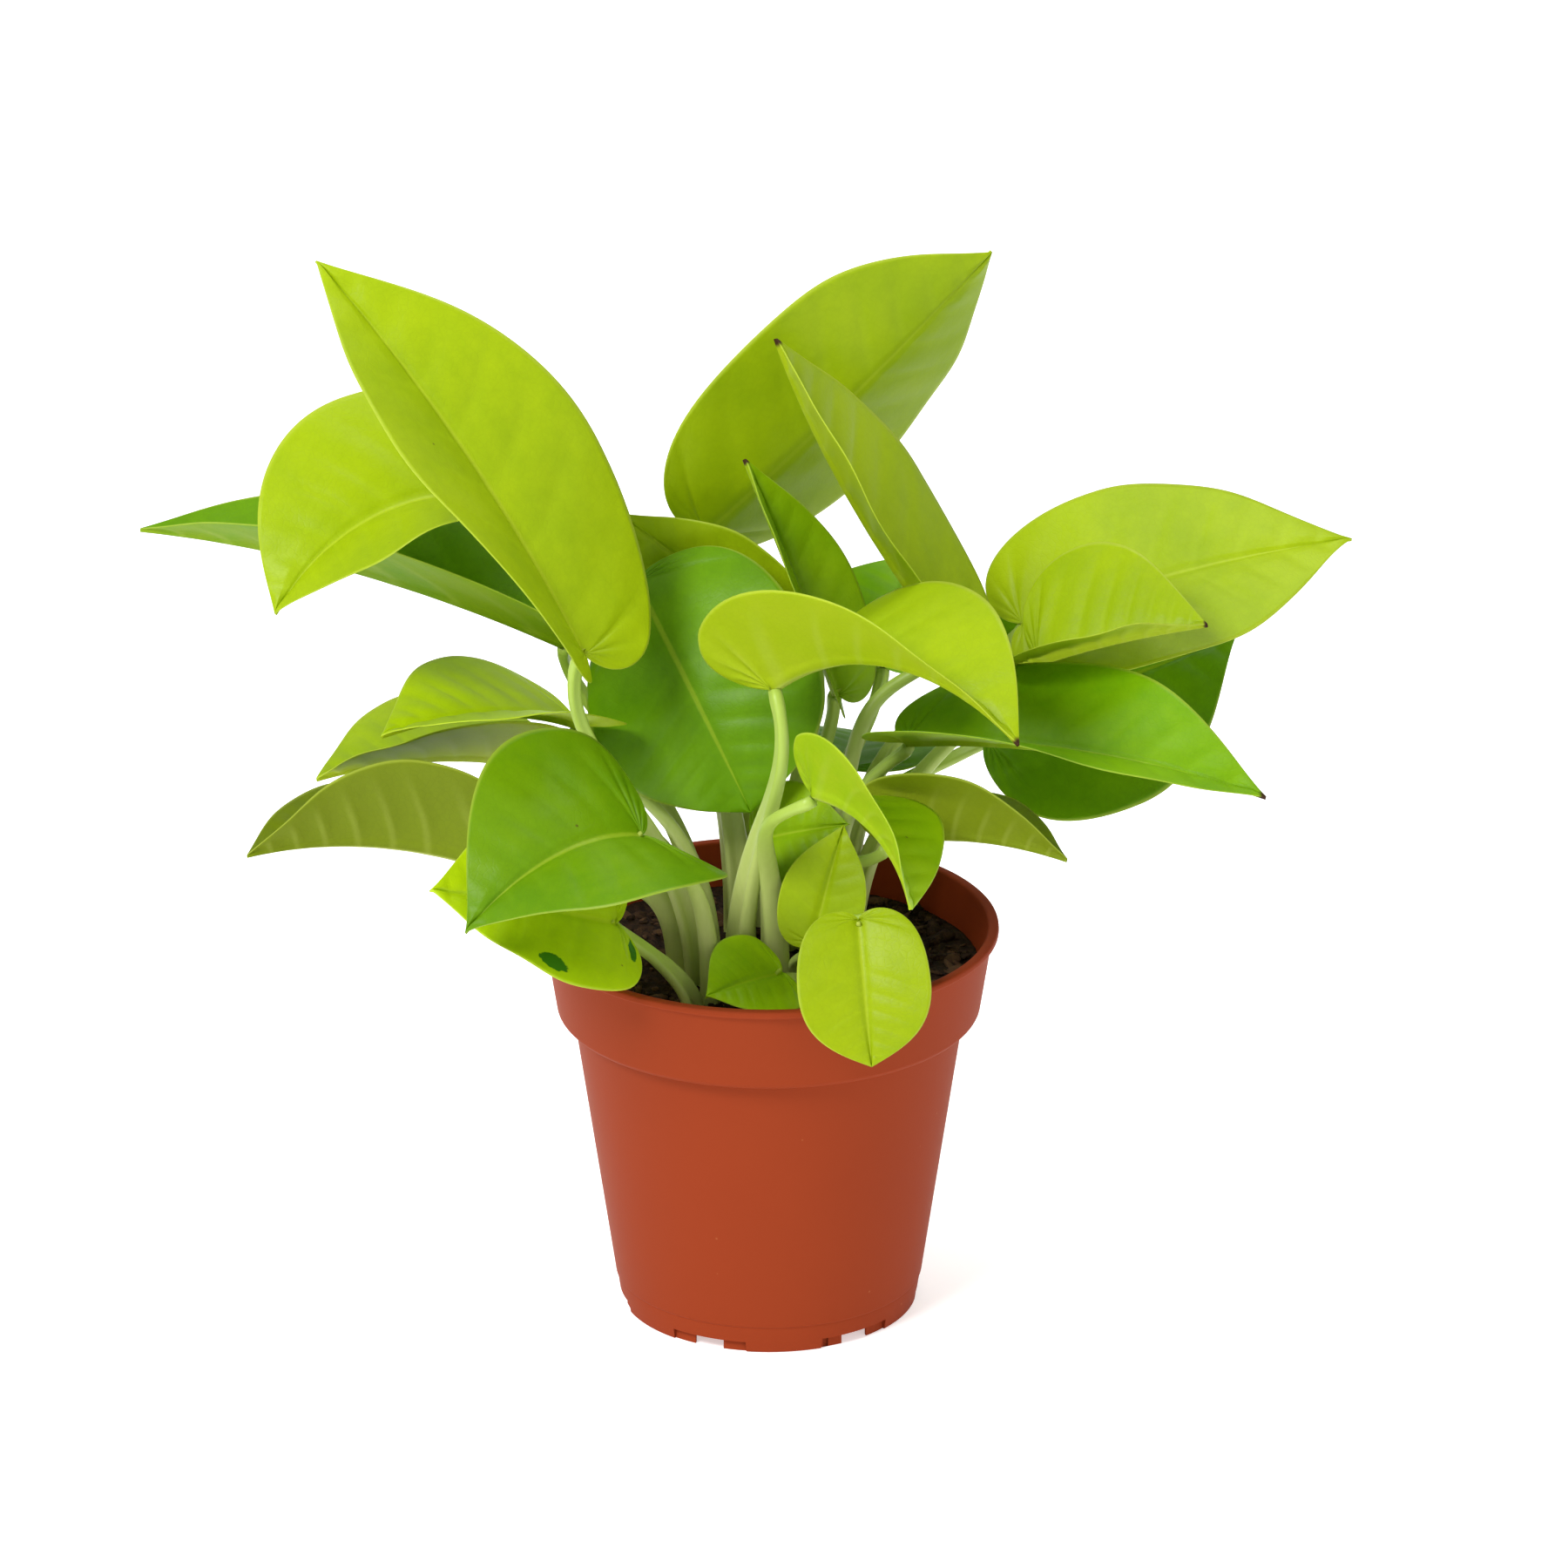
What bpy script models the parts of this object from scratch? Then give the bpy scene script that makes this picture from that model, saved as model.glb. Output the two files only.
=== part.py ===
"""A neon pothos in a round nursery pot: one moulded pot, its potting soil, and for each leaf a heart-shaped
blade on a leaf stem of its own, rooted in the soil.

Frame: the origin is the middle of the pot's underside, where it stands on a table. +Z is up and -Y is the
front. Sizes are in millimetres here, and MM turns them into Blender's metres."""

import math
from collections import namedtuple

import bmesh
import bpy
import numpy as np
from mathutils import Matrix, Vector

MM = 0.001
GAP = 0.3  # between pieces that touch

# Pot, from its foot to its lip
POT_HEIGHT = 92.0
FOOT_RADIUS = 34.0
FOOT_HEIGHT = 6.5
FOOT_TAPER = 1.2
COLLAR_HEIGHT = 20.8
LEDGE_ROUND = 0.9
RIM_RADIUS = 52.5
LEDGE_RADIUS = RIM_RADIUS - 4.2
WAIST_RADIUS = RIM_RADIUS - 7.8
WALL = 1.3
LIP_WIDTH = 1.4
LIP_HEIGHT = 1.6
FLOOR_RISE = 3.4
FLOOR = 1.4
PAD_RADIUS = 8.0
GROOVE = 0.3

# Notches that let water out under the foot
NOTCH_COUNT = 6
NOTCH_TURN = -24
NOTCH_WIDTH = 7.0
NOTCH_HEIGHT = 2.6
RECESS_WIDTH = 18.0
RECESS_DEPTH = 0.7
DRAIN_RADIUS = 4.0
DRAIN_CIRCLE = 20.0

# Soil and what is rooted in it
SOIL_DROP = 10.0
SOIL_TOP = POT_HEIGHT - SOIL_DROP
ROOTED = 6.0
STEM_TOP_RADIUS = 1.1

# Blade
DRAWN_RIM = 52.5  # the rim that the leaf table is laid out for: the plant grows with its pot
GROWTH = RIM_RADIUS / DRAWN_RIM
BLADE_THICKNESS = 0.7
LOBE_SHARE = 0.45  # of the veins, from the stem to the widest point

Leaf = namedtuple("Leaf", "base tip width face fold curl arch sweep twist widest lobe foot rise knee stem tone")


def leaf(base, tip, width, face=(0, 0, 1), fold=(12, 12), curl=(0, 0), arch=20, sweep=0, twist=0,
         widest=0.36, lobe=0.10, foot=(0, 0), rise=40, knee=30, stem=1.7, tone="lime"):
    """One leaf. base and tip are the ends of its blade, with heights above the soil, and face is the way the
    upper side looks. fold and curl are the angles by which its left and right halves rise from the midrib.
    arch bends the midrib down along its length, sweep bends it sideways and twist turns it about itself.
    widest and lobe are the places of the widest point and of the lobes, as shares of the length. foot is where
    its stem leaves the soil, rise how straight up that starts, and stem its radius there. knee is the angle at
    which the stem comes up to the blade."""
    return Leaf(base, tip, width, face, fold, curl, arch, sweep, twist, widest, lobe, foot, rise, knee, stem, tone)


LEAVES = {
    # standing up at the back
    "leaf_crest": leaf((-14, 44, 88), (51, 59, 151), 60, face=(0.3, -1, 0), fold=(5, -36), arch=15,
                       widest=0.44, lobe=0.05, foot=(-2, 22)),
    "leaf_tall_left": leaf((-41, -22, 84), (-101, 15, 164), 59, face=(0.6, -0.8, 0.3), fold=(35, 8),
                           sweep=-12, arch=10, twist=-40, foot=(-16, -13), knee=55),
    "leaf_tall_right": leaf((42, 9, 74), (2, 8, 148), 57, face=(0.9, -0.35, 0.3), fold=(38, 5), arch=-20,
                            foot=(16, 1), rise=75, knee=80),
    "leaf_centre_up": leaf((16, 17, 59), (-5, 20, 115), 27, face=(0.5, -0.85, 0.2), fold=(60, 5), arch=10,
                           foot=(5, 7), tone="fresh"),
    # to the left
    "leaf_left_round": leaf((-63, 26, 104), (-111, -2, 86), 60, face=(-0.3, -0.8, 0.6), fold=(45, 5), arch=50,
                            sweep=-50, foot=(-8, 21), rise=80, knee=25),
    "leaf_left_long": leaf((-46, 18, 71), (-144, 48, 88), 43, face=(0, -0.6, 0.8), fold=(75, 5), arch=35,
                           foot=(-15, 10), knee=80, tone="dark"),
    "leaf_left_bright": leaf((-43, 14, 53), (-87, -13, 61), 52, face=(-0.2, -0.3, 0.9), fold=(28, 0), arch=40,
                             lobe=0.06, foot=(-12, -2)),
    "leaf_left_under": leaf((-52, 26, 38), (-103, 11, 41), 62, face=(-0.1, 0, 1), fold=(34, 10), arch=30,
                            foot=(-17, 4)),
    "leaf_left_low": leaf((-63, -10, 28), (-117, -25, 37), 50, face=(-0.4, 0.75, 0.5), fold=(10, 75), arch=40,
                          foot=(-20, -8), tone="olive"),
    # at the front
    "leaf_front_left": leaf((-28, -38, 47), (-67, -66, 35), 62, face=(-0.2, -0.5, 0.85), fold=(12, 20), arch=75,
                            widest=0.27, lobe=0.16, foot=(-13, -21), tone="mid"),
    "leaf_front_rim": leaf((-34, -29, 22), (-75, -48, 38), 50, face=(0, -0.7, 0.7), fold=(25, 5), arch=10,
                           foot=(-17, -27), rise=8),
    "leaf_front_hang": leaf((20, -46, 30), (23, -62, 1), 30, face=(0, -1, 0.2), fold=(8, 8), arch=20, widest=0.48,
                            foot=(15, -30), rise=15, knee=60),
    "leaf_front_small": leaf((3, -24, 8), (-14, -38, 8), 24, face=(0, -0.6, 0.8), fold=(5, 5), arch=20,
                             foot=(8, -19), rise=5, tone="fresh"),
    "leaf_front_right": leaf((10, -38, 57), (32, -55, 36), 50, face=(0.35, 0, 0.95), fold=(5, 38), arch=75,
                             twist=35, foot=(2, -14), tone="fresh"),
    "leaf_middle_round": leaf((-3, -4, 32), (18, -14, 40), 24, face=(0, -0.8, 0.6), fold=(5, 5), arch=20,
                              foot=(1, 2), tone="fresh"),
    "leaf_middle_up": leaf((10, -24, 15), (17, -17, 41), 20, face=(-0.2, -0.9, 0.3), fold=(5, 5), arch=20,
                           foot=(6, -13), rise=8),
    "leaf_middle_dark": leaf((-30, 23, 84), (-4, -10, 41), 60, face=(0, -0.9, 0.4), fold=(10, -36), arch=55,
                             widest=0.52, lobe=0.06, foot=(-6, 7), rise=50, knee=105, tone="dark"),
    "leaf_behind_pale": leaf((3, 29, 70), (-34, 36, 96), 30, face=(0, -1, -0.2), fold=(5, 5), arch=10,
                             foot=(2, 14)),
    # to the right
    "leaf_right_bright": leaf((1, -25, 77), (55, -69, 81), 56, face=(0.1, 0, 1), fold=(31, 42), arch=75, twist=28,
                              lobe=0.13, foot=(-7, -12), knee=85, stem=2.6),
    "leaf_right_far": leaf((58, 34, 70), (134, 52, 84), 60, face=(0, -0.35, 0.95), fold=(5, 5), arch=20,
                           foot=(17, 11), rise=55),
    "leaf_right_upper": leaf((61, 13, 69), (99, 5, 81), 52, face=(0, -0.6, 0.8), fold=(5, 62), arch=20,
                             foot=(19, 6)),
    "leaf_right_dark": leaf((50, 30, 44), (108, 55, 59), 62, face=(0, -0.7, 0.7), fold=(5, 5), arch=10,
                            foot=(14, 15), tone="dark"),
    "leaf_right_mid": leaf((31, -9, 58), (111, -35, 55), 54, face=(0, -0.4, 0.9), fold=(5, 40), arch=30,
                           twist=20, foot=(14, -5), tone="mid"),
    "leaf_right_low": leaf((26, -12, 35), (67, -30, 38), 40, face=(0, 0, 1), fold=(10, 65), arch=30,
                           foot=(13, -12), tone="olive"),
    # behind the rest
    "leaf_back_right": leaf((26, 26, 63), (33, 62, 76), 40, face=(0, -0.4, 0.9), fold=(5, 5), arch=20,
                            foot=(9, 18), tone="mid"),
    "leaf_back_dark": leaf((18, 26, 38), (24, 66, 30), 40, face=(0, -0.2, 0.9), fold=(5, 5), arch=30,
                           foot=(8, 24), tone="dark"),
}


def bezier(points, t):
    a, b, c, d = (np.asarray(p, float) for p in points)
    t = np.asarray(t, float)[..., None]
    return a * (1 - t) ** 3 + 3 * b * t * (1 - t) ** 2 + 3 * c * t**2 * (1 - t) + d * t**3


def margin(row, s):
    """Points (x, y) of one half's edge for s from 0, where the stem joins, round the lobe to 1, the tip."""
    lobe = [(0, 0), (-row.lobe, 0.12), (-1.45 * row.lobe, 1), (row.widest, 1)]
    side = [(row.widest, 1), (row.widest + 0.32, 1), (0.68 + 0.45 * row.widest, 1.5 * row.widest - 0.24), (1, 0)]
    behind = bezier(lobe, np.clip(s / LOBE_SHARE, 0, 1))
    ahead = bezier(side, np.clip((s - LOBE_SHARE) / (1 - LOBE_SHARE), 0, 1))
    return np.where((s < LOBE_SHARE)[..., None], behind, ahead)


def blade_xy(row, s, v):
    """The flat blade: s is the vein, from the lobe to the tip, and v runs from -1 to 1 across it."""
    edge = margin(row, s)
    start = np.clip(edge[..., 0] - 0.20 * edge[..., 1], 0, 1) * np.clip(s / LOBE_SHARE, 0, 1) ** 0.5
    start = np.where(s >= 1, 1.0, start)
    out = np.abs(v)
    x = start + (edge[..., 0] - start) * out**1.25
    y = edge[..., 1] * out * np.sign(v)
    return x, y


def unit(v):
    v = np.asarray(v, float)
    return v / np.linalg.norm(v)


def place(point):
    """A point of the leaf table, with its height taken from the pot's underside."""
    return np.multiply(point, GROWTH) + (0, 0, SOIL_TOP)


def blade_axes(row):
    """Forward, left and upward directions of a blade, with the upward one as near its face as it can be."""
    forward = unit(np.subtract(row.tip, row.base))
    face = np.asarray(row.face, float)
    up = unit(face - (face @ forward) * forward)
    return np.array([forward, np.cross(up, forward), up])


STATIONS = np.linspace(0, 1, 33)


def midrib(row):
    """Stations along a blade in its own axes: their points, and the forward, left and up directions there."""
    pitch = np.radians(row.arch) * (0.5 - STATIONS)
    yaw = np.radians(row.sweep) * (0.5 - STATIONS)
    twist = np.radians(row.twist) * (STATIONS - 0.5)
    ahead = np.stack([np.cos(pitch) * np.cos(yaw), np.cos(pitch) * np.sin(yaw), np.sin(pitch)], 1)
    level = np.stack([-np.sin(yaw), np.cos(yaw), 0 * yaw], 1)
    above = np.cross(ahead, level)
    left = level * np.cos(twist)[:, None] + above * np.sin(twist)[:, None]
    up = above * np.cos(twist)[:, None] - level * np.sin(twist)[:, None]
    points = np.vstack([[0, 0, 0], np.cumsum((ahead[1:] + ahead[:-1]) / 2, 0)]) / (len(STATIONS) - 1)
    chord = GROWTH * np.linalg.norm(np.subtract(row.tip, row.base))
    length = chord / np.linalg.norm(points[-1])
    points = points * length
    points = points - STATIONS[:, None] * (points[-1] - [chord, 0, 0])
    return points, ahead, left, up, length


def across(share, fold, curl, half):
    """How far out and how far up a point at this share of the half width comes."""
    start, turn = math.radians(fold), math.radians(curl)
    if curl == 0:
        return half * share * math.cos(start), half * share * math.sin(start)
    end = start + turn * share
    return half * (np.sin(end) - math.sin(start)) / turn, half * (math.cos(start) - np.cos(end)) / turn


def along(table, x):
    """Values of a table of stations at places x along the blade."""
    return np.stack([np.interp(x, STATIONS, table[:, k]) for k in range(3)], -1)


def bend(row, x, y):
    """Where the flat blade's points come once it is folded and arched, in its own axes."""
    points, ahead, left, up, length = midrib(row)
    inside = np.clip(x, 0, 1)
    half = GROWTH * row.width / 2
    spine = along(points, inside) + (np.minimum(x, 0) * length)[..., None] * ahead[0]
    out_left, up_left = across(np.abs(y), row.fold[0], row.curl[0], half)
    out_right, up_right = across(np.abs(y), row.fold[1], row.curl[1], half)
    out = np.where(y > 0, out_left, -out_right)
    rise = np.where(y > 0, up_left, up_right)
    return spine + out[..., None] * along(left, inside) + rise[..., None] * along(up, inside)


def stem_line(row, count):
    """Points along a leaf stem, from its foot in the soil to just under its blade."""
    axes = blade_axes(row)
    points, ahead, left, up, length = midrib(row)
    ahead, up = ahead[0] @ axes, up[0] @ axes
    knee = math.radians(row.knee)
    arrive = math.cos(knee) * ahead + math.sin(knee) * up
    foot = place((*row.foot, 0)) - [0, 0, ROOTED]
    droop = max(0, -math.sin(math.radians(min(row.fold))))  # of a half that comes down beside the stem
    below = BLADE_THICKNESS + GAP + GROWTH * STEM_TOP_RADIUS * (abs(math.cos(knee)) + droop)
    end = place(row.base) - below * up
    span = np.linalg.norm(end - foot)
    turns = [foot + [0, 0, ROOTED], foot + [0, 0, ROOTED + GROWTH * row.rise], end - arrive * span * 0.3, end]
    return np.vstack([foot, bezier(turns, np.linspace(0, 1, count - 1))])


BLADE_ROWS = 9
BLADE_COLUMNS = 6
STEM_POINTS = 9
TURNS = 40

COLOURS = {
    "pot": ((0.40, 0.065, 0.022), 0.42),
    "soil": ((0.035, 0.018, 0.010), 0.95),
    "stem": ((0.42, 0.50, 0.11), 0.45),
    "lime": ((0.40, 0.60, 0.035), 0.38),
    "olive": ((0.28, 0.35, 0.02), 0.42),
    "fresh": ((0.30, 0.54, 0.02), 0.38),
    "mid": ((0.19, 0.45, 0.015), 0.35),
    "dark": ((0.08, 0.25, 0.008), 0.35),
}


def clear_scene():
    for old in list(bpy.data.objects):
        bpy.data.objects.remove(old, do_unlink=True)


def new_collection(name):
    collection = bpy.data.collections.new(name)
    bpy.context.scene.collection.children.link(collection)
    return collection


def new_material(name, colour, roughness):
    material = bpy.data.materials.new(name)
    material.use_nodes = True
    shader = material.node_tree.nodes["Principled BSDF"]
    shader.inputs["Base Color"].default_value = (*colour, 1)
    shader.inputs["Roughness"].default_value = roughness
    shader.inputs["Metallic"].default_value = 0
    return material


def add(name, data, collection, material=None):
    """A new object that holds this mesh or curve."""
    thing = bpy.data.objects.new(name, data)
    collection.objects.link(thing)
    if material:
        data.materials.append(material)
    return thing


def mesh_from(bm, name):
    mesh = bpy.data.meshes.new(name)
    bm.to_mesh(mesh)
    bm.free()
    return mesh


def profile_mesh(name, outline):
    """A line through (radius, height) points, in millimetres, for a Screw modifier to turn."""
    bm = bmesh.new()
    line = [bm.verts.new((radius * MM, 0, height * MM)) for radius, height in outline]
    for start, end in zip(line, line[1:]):
        bm.edges.new((start, end))
    return mesh_from(bm, name)


def turn(thing):
    screw = thing.modifiers.new("turn", "SCREW")
    screw.axis = "Z"
    screw.angle = math.tau
    screw.steps = TURNS
    screw.render_steps = TURNS
    screw.use_merge_vertices = True
    screw.merge_threshold = 0.00001
    screw.use_normal_calculate = False


def cut(thing, cutter):
    cutter.hide_render = True
    cutter.display_type = "WIRE"
    boolean = thing.modifiers.new(cutter.name, "BOOLEAN")
    boolean.operation = "DIFFERENCE"
    boolean.object = cutter


def around(count, first):
    """Angles of a ring of features, counted from the front."""
    return [math.radians(first - 90 + 360 * k / count) for k in range(count)]


def collar(inset):
    """Points up the pot's collar, from its ledge to the lip, this far inside its outer face."""
    low = POT_HEIGHT - COLLAR_HEIGHT + inset
    ledge = [(WAIST_RADIUS, low), (LEDGE_RADIUS - LEDGE_ROUND, low + 0.1),
             (LEDGE_RADIUS - 0.3 * LEDGE_ROUND, low + 0.4 * LEDGE_ROUND), (LEDGE_RADIUS, low + 1.2 * LEDGE_ROUND)]
    top = (RIM_RADIUS - LIP_WIDTH, POT_HEIGHT - LIP_HEIGHT)
    return [(radius - inset, height) for radius, height in [*ledge, top]]


def inner_wall(inset):
    """Points up the inside of the pot, from the floor to the lip, this far inside its inner face."""
    foot_top = (FOOT_RADIUS + FOOT_TAPER - WALL - inset, FLOOR_RISE + FLOOR)
    return [foot_top] + collar(WALL + inset)


def pot_outline():
    """Half of the pot's section: its floor, up its inside, over the lip, down its outside and under it."""
    lip = [(RIM_RADIUS - LIP_WIDTH - WALL + 0.6, POT_HEIGHT - 0.2), (RIM_RADIUS - 1.2, POT_HEIGHT),
           (RIM_RADIUS - 0.2, POT_HEIGHT - 0.4), (RIM_RADIUS, POT_HEIGHT - 1.0),
           (RIM_RADIUS - 0.4, POT_HEIGHT - LIP_HEIGHT)]
    outside = collar(0)[::-1]
    foot_top = FOOT_RADIUS + FOOT_TAPER
    foot = [(foot_top, FOOT_HEIGHT + GROOVE), (foot_top - GROOVE, FOOT_HEIGHT),
            (foot_top - GROOVE, FOOT_HEIGHT - 0.4), (FOOT_RADIUS + 0.3, 0.4), (FOOT_RADIUS, 0),
            (FOOT_RADIUS - WALL, 0), (FOOT_RADIUS - WALL, FLOOR_RISE)]
    pad = [(PAD_RADIUS + 0.6, FLOOR_RISE), (PAD_RADIUS, 0), (0, 0)]
    return [(0, FLOOR_RISE + FLOOR)] + inner_wall(0) + lip + outside + foot + pad


def box_ring(name, collection, radius, length, width, height):
    """Boxes round the pot's foot, one at each notch, standing up from below the table."""
    bm = bmesh.new()
    for angle in around(NOTCH_COUNT, NOTCH_TURN):
        centre = Matrix.Rotation(angle, 4, "Z") @ Matrix.Translation((radius * MM, 0, 0))
        size = Matrix.Diagonal((length * MM, width * MM, 2 * height * MM, 1))
        bmesh.ops.create_cube(bm, size=1, matrix=centre @ size)
    return add(name, mesh_from(bm, name), collection)


def cylinders(name, collection, places, low, high, sides):
    """Upright cylinders at (x, y, radius) places."""
    bm = bmesh.new()
    for x, y, radius in places:
        middle = Matrix.Translation(Vector((x, y, (low + high) / 2)) * MM)
        bmesh.ops.create_cone(bm, cap_ends=True, segments=sides, radius1=radius * MM, radius2=radius * MM,
                              depth=(high - low) * MM, matrix=middle)
    return add(name, mesh_from(bm, name), collection)


def make_pot(parts, cutters, material):
    pot = add("pot", profile_mesh("pot", pot_outline()), parts, material)
    turn(pot)
    recess = box_ring("foot_recess", cutters, FOOT_RADIUS, 10, RECESS_WIDTH, NOTCH_HEIGHT)
    cut(recess, cylinders("foot_core", cutters, [(0, 0, FOOT_RADIUS - RECESS_DEPTH)], -10, 10, 72))
    cut(pot, recess)
    cut(pot, box_ring("foot_notch", cutters, FOOT_RADIUS, 10, NOTCH_WIDTH, NOTCH_HEIGHT))
    drains = [(DRAIN_CIRCLE * math.cos(angle), DRAIN_CIRCLE * math.sin(angle), DRAIN_RADIUS)
              for angle in around(NOTCH_COUNT, NOTCH_TURN + 30)]
    cut(pot, cylinders("drain", cutters, drains, 0, 10, 16))
    return pot


def make_soil(parts, cutters, material):
    """Soil up to SOIL_TOP, with a pocket for the foot of each stem."""
    wall = [point for point in inner_wall(GAP) if point[1] < SOIL_TOP]
    (below, low), (above, high) = wall[-1], inner_wall(GAP)[len(wall)]
    edge = below + (above - below) * (SOIL_TOP - low) / (high - low)
    bottom = FLOOR_RISE + FLOOR + GAP
    wall[0] = (wall[0][0], bottom)
    outline = [(0, SOIL_TOP), (edge, SOIL_TOP)] + wall[::-1] + [(0, bottom)]
    soil = add("soil", profile_mesh("soil", outline), parts, material)
    turn(soil)
    pockets = [(*place((*row.foot, 0))[:2], GROWTH * row.stem + GAP) for row in LEAVES.values()]
    cut(soil, cylinders("root_pockets", cutters, pockets, SOIL_TOP - ROOTED - GAP, SOIL_TOP + ROOTED, 8))
    return soil


def make_blade(name, row, parts, material):
    """A grid bent into the leaf's shape, given its thickness below its upper side."""
    bm = bmesh.new()
    bmesh.ops.create_grid(bm, x_segments=BLADE_ROWS, y_segments=BLADE_COLUMNS, size=1)
    flat = np.array([vert.co for vert in bm.verts])
    x, y = blade_xy(row, (flat[:, 0] + 1) / 2, flat[:, 1])
    for vert, point in zip(bm.verts, bend(row, x, y)):
        vert.co = point * MM
    bmesh.ops.remove_doubles(bm, verts=bm.verts, dist=0.01 * MM)
    blade = add(name, mesh_from(bm, name), parts, material)
    blade.data.shade_smooth()
    across_from_down = Matrix(blade_axes(row).T).to_4x4()
    blade.matrix_world = Matrix.Translation(Vector(place(row.base)) * MM) @ across_from_down
    solidify = blade.modifiers.new("thickness", "SOLIDIFY")
    solidify.thickness = BLADE_THICKNESS * MM
    solidify.offset = -1
    return blade


def make_stem(name, row, parts, material):
    """A tube along the leaf's stem, thickest at its foot."""
    curve = bpy.data.curves.new(name, "CURVE")
    curve.dimensions = "3D"
    curve.bevel_depth = MM
    curve.bevel_resolution = 1
    curve.use_fill_caps = True
    line = stem_line(row, STEM_POINTS)
    spline = curve.splines.new("POLY")
    spline.points.add(len(line) - 1)
    for k, point in enumerate(line):
        spline.points[k].co = (*(point * MM), 1)
        done = max(k - 1, 0) / (len(line) - 2)
        spline.points[k].radius = GROWTH * (STEM_TOP_RADIUS + (row.stem - STEM_TOP_RADIUS) * (1 - done) ** 1.5)
    return add(name, curve, parts, material)


def main():
    clear_scene()
    parts = new_collection("potted_pothos")
    cutters = new_collection("cutters")
    materials = {name: new_material(name, *look) for name, look in COLOURS.items()}
    make_pot(parts, cutters, materials["pot"])
    make_soil(parts, cutters, materials["soil"])
    for name, row in LEAVES.items():
        make_blade(name, row, parts, materials[row.tone])
        make_stem(name.replace("leaf_", "stem_"), row, parts, materials["stem"])


main()
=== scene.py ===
"""A neon pothos in a terracotta-coloured nursery pot on a pale floor, seen from the front and a little above.

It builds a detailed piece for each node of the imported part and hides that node. Sizes are in millimetres."""

import math
from collections import namedtuple

import bmesh
import bpy
import numpy as np
from mathutils import Matrix, Vector
from mathutils import noise as mathutils_noise


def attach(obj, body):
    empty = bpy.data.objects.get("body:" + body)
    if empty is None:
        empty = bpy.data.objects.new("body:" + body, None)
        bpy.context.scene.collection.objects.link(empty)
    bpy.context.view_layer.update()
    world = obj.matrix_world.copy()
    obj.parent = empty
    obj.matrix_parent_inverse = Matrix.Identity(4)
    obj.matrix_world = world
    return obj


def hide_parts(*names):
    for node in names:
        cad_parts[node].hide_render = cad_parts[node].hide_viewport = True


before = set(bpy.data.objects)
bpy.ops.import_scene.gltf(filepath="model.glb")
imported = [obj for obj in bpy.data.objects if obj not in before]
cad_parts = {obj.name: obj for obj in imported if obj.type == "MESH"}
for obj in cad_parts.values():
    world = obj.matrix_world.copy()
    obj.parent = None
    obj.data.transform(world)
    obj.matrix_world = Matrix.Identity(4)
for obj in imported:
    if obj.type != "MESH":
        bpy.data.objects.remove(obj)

MM = 0.001
GAP = 0.3

# Pot, from its foot to its lip
POT_HEIGHT = 92.0
FOOT_RADIUS = 34.0
FOOT_HEIGHT = 6.5
FOOT_TAPER = 1.2
COLLAR_HEIGHT = 20.8
LEDGE_ROUND = 0.9
RIM_RADIUS = 52.5
LEDGE_RADIUS = RIM_RADIUS - 4.2
WAIST_RADIUS = RIM_RADIUS - 7.8
WALL = 1.3
LIP_WIDTH = 1.4
LIP_HEIGHT = 1.6
FLOOR_RISE = 3.4
FLOOR = 1.4
PAD_RADIUS = 8.0
GROOVE = 0.3

# Notches that let water out under the foot
NOTCH_COUNT = 6
NOTCH_TURN = -24
NOTCH_WIDTH = 7.0
NOTCH_HEIGHT = 2.6
RECESS_WIDTH = 18.0
RECESS_DEPTH = 0.7
DRAIN_RADIUS = 4.0
DRAIN_CIRCLE = 20.0

# Soil and what is rooted in it
SOIL_DROP = 10.0
SOIL_TOP = POT_HEIGHT - SOIL_DROP
ROOTED = 6.0
STEM_TOP_RADIUS = 1.1

# Blade
DRAWN_RIM = 52.5  # the rim that the leaf table is laid out for: the plant grows with its pot
GROWTH = RIM_RADIUS / DRAWN_RIM
BLADE_THICKNESS = 0.7
LOBE_SHARE = 0.45  # of the veins, from the stem to the widest point

Leaf = namedtuple("Leaf", "base tip width face fold curl arch sweep twist widest lobe foot rise knee stem tone")


def leaf(base, tip, width, face=(0, 0, 1), fold=(12, 12), curl=(0, 0), arch=20, sweep=0, twist=0,
         widest=0.36, lobe=0.10, foot=(0, 0), rise=40, knee=30, stem=1.7, tone="lime"):
    """One leaf. base and tip are the ends of its blade, with heights above the soil, and face is the way the
    upper side looks. fold and curl are the angles by which its left and right halves rise from the midrib.
    arch bends the midrib down along its length, sweep bends it sideways and twist turns it about itself.
    widest and lobe are the places of the widest point and of the lobes, as shares of the length. foot is where
    its stem leaves the soil, rise how straight up that starts, and stem its radius there. knee is the angle at
    which the stem comes up to the blade."""
    return Leaf(base, tip, width, face, fold, curl, arch, sweep, twist, widest, lobe, foot, rise, knee, stem, tone)


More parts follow.
